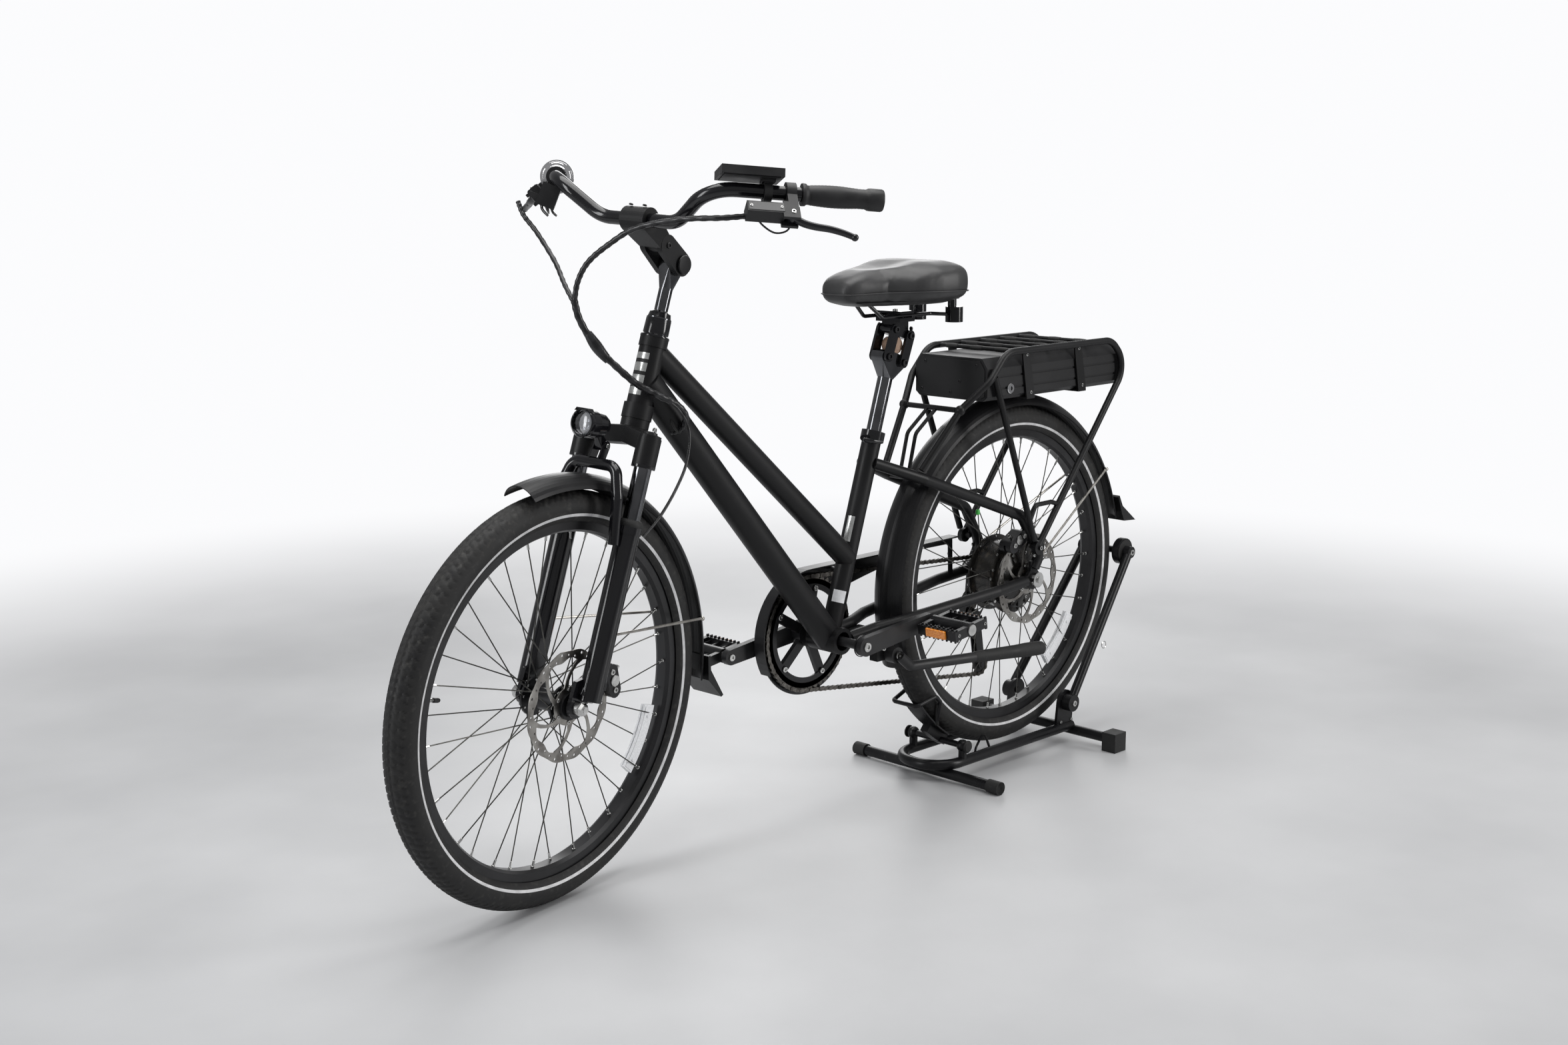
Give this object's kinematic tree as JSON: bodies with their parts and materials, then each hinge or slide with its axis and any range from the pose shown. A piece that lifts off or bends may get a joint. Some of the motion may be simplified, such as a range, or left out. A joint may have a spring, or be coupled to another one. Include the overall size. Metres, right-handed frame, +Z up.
{
  "type": "electric city bicycle on a floor stand",
  "caption": "Step-through electric city bicycle with rear rack battery, fenders, suspension fork and disc brakes, held upright by a folding rear-wheel floor stand.",
  "frame": {"origin": "on the floor under the middle of the object's box", "axes": "+X forwards along the bicycle, +Y to the rider's left, +Z up"},
  "size_m": [1.8551, 0.6909, 1.1599],
  "materials": {
    "stand_steel": "semi-gloss",
    "stand_rubber": "matt",
    "frame_paint": "satin",
    "gloss_paint": "gloss",
    "fender_black": "satin",
    "black_plastic": "satin",
    "chain_steel": "oiled",
    "alloy_black": "anodised",
    "bright_steel": "bright",
    "chrome": "mirror",
    "dark_chrome": "dark mirror",
    "cable_black": "satin",
    "tyre_rubber": "matt",
    "grip_rubber": "matt",
    "vinyl": "soft gloss",
    "lens": "clear",
    "battery_black": "satin"
  },
  "bodies": {
    "stand": {"stand_base": "stand_steel", "stand_feet": "stand_rubber"},
    "stand_arms": {"stand_arms": "stand_steel"},
    "stand_roller": {"stand_roller": "stand_rubber"},
    "cradle": {"wheel_cradle": "stand_steel"},
    "frame": {"main_frame": "frame_paint", "chainstays": "frame_paint", "seatstays": "frame_paint", "rear_rack": "frame_paint", "rear_fender": "fender_black", "chain_guard": "black_plastic", "chain": "chain_steel", "derailleur": "alloy_black", "rear_caliper": "alloy_black", "seat_clamp": "alloy_black", "rear_axle": "bright_steel", "control_cables": "cable_black"},
    "derailleur_cage": {"derailleur_cage": "alloy_black"},
    "battery": {"battery_case": "battery_black"},
    "kickstand": {"kickstand_leg": "alloy_black", "kickstand_foot": "grip_rubber"},
    "steering": {"fork_crown": "gloss_paint", "fork_stanchions": "dark_chrome", "stem_riser": "gloss_paint"},
    "bars": {"stem_arm": "gloss_paint", "handlebar": "gloss_paint", "grips": "grip_rubber", "display": "black_plastic", "brake_perches": "alloy_black", "shifter": "black_plastic"},
    "bell": {"bell": "chrome"},
    "brake_lever_left": {"brake_lever_left": "gloss_paint"},
    "brake_lever_right": {"brake_lever_right": "gloss_paint"},
    "fork_lower": {"fork_lowers": "gloss_paint", "front_caliper": "alloy_black", "front_fender": "fender_black", "front_axle": "bright_steel"},
    "headlamp": {"headlamp": "black_plastic", "headlamp_lens": "lens"},
    "front_wheel": {"front_tyre": "tyre_rubber", "front_rim": "alloy_black", "front_spokes": "bright_steel", "front_hub": "alloy_black", "front_rotor": "bright_steel"},
    "rear_wheel": {"rear_tyre": "tyre_rubber", "rear_rim": "alloy_black", "rear_spokes": "bright_steel", "hub_motor": "alloy_black", "rear_rotor": "bright_steel"},
    "freewheel": {"freewheel_cogs": "chain_steel"},
    "crank": {"cranks": "alloy_black", "chainring": "alloy_black"},
    "pedal_left": {"pedal_left": "black_plastic"},
    "pedal_right": {"pedal_right": "black_plastic"},
    "seatpost": {"seatpost": "dark_chrome"},
    "link_front": {"link_front": "alloy_black"},
    "link_rear": {"link_rear": "alloy_black"},
    "seat": {"seat_head": "alloy_black", "saddle": "vinyl", "saddle_rails": "bright_steel"}
  },
  "joints": [
    {"name": "bike_lift", "type": "slide", "parent": "stand", "child": "frame", "axis": [0, 0, 1], "range_m": [0, 0.35]},
    {"name": "arms_fold", "type": "hinge", "parent": "stand", "child": "stand_arms", "pos_m": [-0.6576, 0.0025, 0.084], "axis": [0, -1, 0], "range_deg": [0, 60]},
    {"name": "roller_spin", "type": "hinge", "parent": "stand_arms", "child": "stand_roller", "pos_m": [-0.8706, 0.0025, 0.358], "axis": [0, 1, 0], "continuous": true},
    {"name": "cradle_tip", "type": "hinge", "parent": "stand", "child": "cradle", "pos_m": [-0.3396, 0.0025, 0.062], "axis": [0, 1, 0], "range_deg": [0, 25]},
    {"name": "steering", "type": "hinge", "parent": "frame", "child": "steering", "pos_m": [0.55097, 0.0025, 0.31719], "axis": [-0.3162, 0, 0.9487], "range_deg": [-60, 45], "deforming": ["control_cables"]},
    {"name": "fork_travel", "type": "slide", "parent": "steering", "child": "fork_lower", "axis": [-0.3162, 0, 0.9487], "range_m": [0, 0.05], "stiffness_N_per_m": 9000, "springref_m": -0.02},
    {"name": "front_wheel_spin", "type": "hinge", "parent": "fork_lower", "child": "front_wheel", "pos_m": [0.59784, 0.01015, 0.33281], "axis": [-0.1451, 0.9882, -0.0484], "continuous": true},
    {"name": "headlamp_tilt", "type": "hinge", "parent": "fork_lower", "child": "headlamp", "pos_m": [0.48477, 0.0126, 0.72203], "axis": [-0.1451, 0.9882, -0.0484], "range_deg": [-12, 12]},
    {"name": "stem_angle", "type": "hinge", "parent": "steering", "child": "bars", "pos_m": [0.32455, 0.0025, 0.99645], "axis": [-0.1451, 0.9882, -0.0484], "range_deg": [-30, 25], "deforming": ["control_cables"]},
    {"name": "brake_lever_left", "type": "hinge", "parent": "bars", "child": "brake_lever_left", "pos_m": [0.32243, 0.27176, 1.07527], "axis": [0.3218, 0.6218, 0.714], "range_deg": [0, 20], "stiffness_Nm_per_rad": 2, "springref_deg": -8.59},
    {"name": "brake_lever_right", "type": "hinge", "parent": "bars", "child": "brake_lever_right", "pos_m": [0.39865, -0.24722, 1.10068], "axis": [-0.4766, 0.4321, -0.7656], "range_deg": [0, 20], "stiffness_Nm_per_rad": 2, "springref_deg": -8.59},
    {"name": "bell_twist", "type": "hinge", "parent": "bars", "child": "bell", "pos_m": [0.40333, -0.18579, 1.13243], "axis": [-0.6557, -0.7548, -0.0178], "range_deg": [-30, 30], "stiffness_Nm_per_rad": 0.2},
    {"name": "rear_wheel_spin", "type": "hinge", "parent": "frame", "child": "rear_wheel", "pos_m": [-0.5296, 0.0025, 0.358], "axis": [0, 1, 0], "continuous": true},
    {"name": "crank_spin", "type": "hinge", "parent": "frame", "child": "crank", "pos_m": [-0.0376, 0.0025, 0.316], "axis": [0, 1, 0], "continuous": true},
    {"name": "freewheel_spin", "type": "hinge", "parent": "frame", "child": "freewheel", "pos_m": [-0.5296, 0.0025, 0.358], "axis": [0, 1, 0], "continuous": true},
    {"name": "pedal_left_spin", "type": "hinge", "parent": "crank", "child": "pedal_left", "pos_m": [-0.20667, 0.0955, 0.33377], "axis": [0, 1, 0], "continuous": true},
    {"name": "pedal_right_spin", "type": "hinge", "parent": "crank", "child": "pedal_right", "pos_m": [0.13147, -0.0835, 0.29823], "axis": [0, 1, 0], "continuous": true},
    {"name": "derailleur_swing", "type": "hinge", "parent": "frame", "child": "derailleur_cage", "pos_m": [-0.5036, -0.0635, 0.276], "axis": [0, 1, 0], "range_deg": [-12, 12], "stiffness_Nm_per_rad": 1.5, "deforming": ["chain"]},
    {"name": "kickstand_swing", "type": "hinge", "parent": "frame", "child": "kickstand", "pos_m": [-0.1576, 0.0465, 0.272], "axis": [0, -1, 0], "range_deg": [0, 38]},
    {"name": "seatpost_height", "type": "slide", "parent": "frame", "child": "seatpost", "axis": [-0.3034, 0, 0.9529], "range_m": [-0.08, 0.06]},
    {"name": "link_front_swing", "type": "hinge", "parent": "seatpost", "child": "link_front", "pos_m": [-0.1716, 0.0025, 0.812], "axis": [0, -1, 0], "range_deg": [0, 30], "stiffness_Nm_per_rad": 400, "springref_deg": -17.19},
    {"name": "link_rear_swing", "type": "hinge", "parent": "seatpost", "child": "link_rear", "pos_m": [-0.2116, 0.0025, 0.798], "axis": [0, -1, 0], "range_deg": [0, 30]},
    {"name": "seat_head_level", "type": "hinge", "parent": "link_front", "child": "seat", "pos_m": [-0.1896, 0.0025, 0.859], "axis": [0, -1, 0], "range_deg": [-30, 0]},
    {"name": "battery_slide", "type": "slide", "parent": "frame", "child": "battery", "axis": [-1, 0, 0], "range_m": [0, 0.25]}
  ],
  "couplings": [
    {"joint": "freewheel_spin", "follows": "crank_spin", "ratio": 3.75},
    {"joint": "link_rear_swing", "follows": "link_front_swing", "ratio": 1},
    {"joint": "seat_head_level", "follows": "link_front_swing", "ratio": -1}
  ]
}
